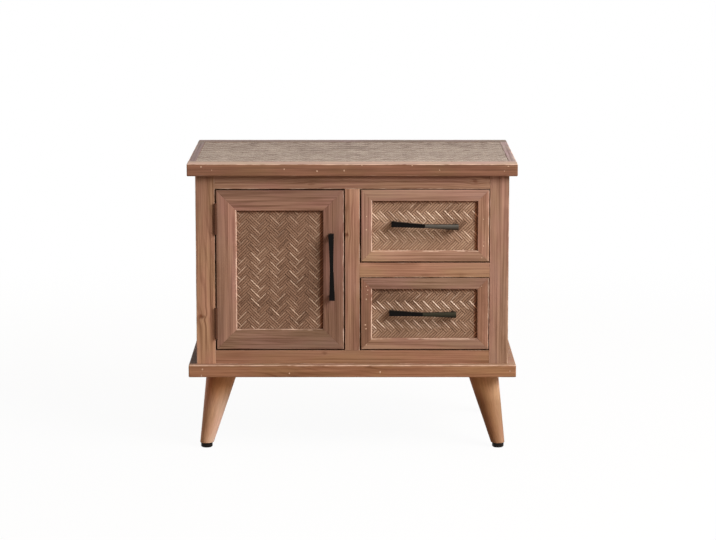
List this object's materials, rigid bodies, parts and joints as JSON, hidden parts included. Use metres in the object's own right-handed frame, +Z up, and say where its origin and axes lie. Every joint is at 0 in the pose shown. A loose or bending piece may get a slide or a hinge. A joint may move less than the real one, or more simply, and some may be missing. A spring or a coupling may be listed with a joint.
{
  "type": "storage side table",
  "caption": "Low side cabinet: herringbone table top, hinged door over a shelved compartment, sliding drawers, splayed tapered legs.",
  "frame": {"origin": "on the floor, under the middle of the whole object's box, door handle included", "axes": "+X to the right seen from the front, +Y to the back, +Z up"},
  "size_m": [0.686, 0.472, 0.61],
  "materials": {
    "weathered_fir": "reddish brown stained fir, matt, worn lighter on its edges",
    "herringbone_fir": "narrow fir slats in herringbone, greyed, matt",
    "plain_fir": "unstained planed fir, matt",
    "plywood": "thin plywood, matt",
    "black_metal": "satin black powder coat",
    "dark_hinge_steel": "dark bronze, satin",
    "zinc_steel": "zinc plated",
    "insert_brass": "plain",
    "black_plastic": "matt black",
    "catch_plastic": "brown, matt"
  },
  "bodies": {
    "cabinet": {"back_panel": "plywood", "base_board": "weathered_fir", "divider_panel": "plain_fir", "face_rail_bottom": "weathered_fir", "face_rail_middle": "weathered_fir", "face_rail_top": "weathered_fir", "face_stile_left": "weathered_fir", "face_stile_middle": "weathered_fir", "face_stile_right": "weathered_fir", "hinge_frame_leaves": "dark_hinge_steel", "hinge_frame_screws": "zinc_steel", "hinge_pins": "dark_hinge_steel", "leg_back_left": "weathered_fir", "leg_back_right": "weathered_fir", "leg_front_left": "weathered_fir", "leg_front_right": "weathered_fir", "leg_glides": "black_plastic", "leg_hanger_bolts": "zinc_steel", "leg_inserts": "insert_brass", "lower_drawer_runners": "plain_fir", "magnetic_catch": "catch_plastic", "shelf": "plain_fir", "shelf_pins": "zinc_steel", "side_panel_left": "weathered_fir", "side_panel_right": "weathered_fir", "top_cleats": "plain_fir", "top_frame_back": "weathered_fir", "top_frame_front": "weathered_fir", "top_frame_left": "weathered_fir", "top_frame_right": "weathered_fir", "top_herringbone_panel": "herringbone_fir", "upper_drawer_runners": "plain_fir"},
    "door": {"door_handle": "black_metal", "door_handle_screws": "zinc_steel", "door_herringbone_panel": "herringbone_fir", "door_rail_bottom": "weathered_fir", "door_rail_top": "weathered_fir", "door_stile_left": "weathered_fir", "door_stile_right": "weathered_fir", "door_strike_plate": "zinc_steel", "hinge_door_leaves": "dark_hinge_steel", "hinge_door_screws": "zinc_steel"},
    "upper_drawer": {"upper_drawer_back": "plain_fir", "upper_drawer_bottom": "plywood", "upper_drawer_box_front": "plain_fir", "upper_drawer_frame_rails": "weathered_fir", "upper_drawer_frame_stiles": "weathered_fir", "upper_drawer_handle": "black_metal", "upper_drawer_handle_screws": "zinc_steel", "upper_drawer_herringbone_panel": "herringbone_fir", "upper_drawer_sides": "plain_fir"},
    "lower_drawer": {"lower_drawer_back": "plain_fir", "lower_drawer_bottom": "plywood", "lower_drawer_box_front": "plain_fir", "lower_drawer_frame_rails": "weathered_fir", "lower_drawer_frame_stiles": "weathered_fir", "lower_drawer_handle": "black_metal", "lower_drawer_handle_screws": "zinc_steel", "lower_drawer_herringbone_panel": "herringbone_fir", "lower_drawer_sides": "plain_fir"}
  },
  "joints": [
    {"name": "door_hinge", "type": "hinge", "parent": "cabinet", "child": "door", "pos_m": [-0.28525, -0.2075, 0.385], "axis": [0, 0, -1], "range_deg": [0, 110]},
    {"name": "upper_drawer_slide", "type": "slide", "parent": "cabinet", "child": "upper_drawer", "axis": [0, -1, 0], "range_m": [0, 0.25]},
    {"name": "lower_drawer_slide", "type": "slide", "parent": "cabinet", "child": "lower_drawer", "axis": [0, -1, 0], "range_m": [0, 0.25]}
  ]
}
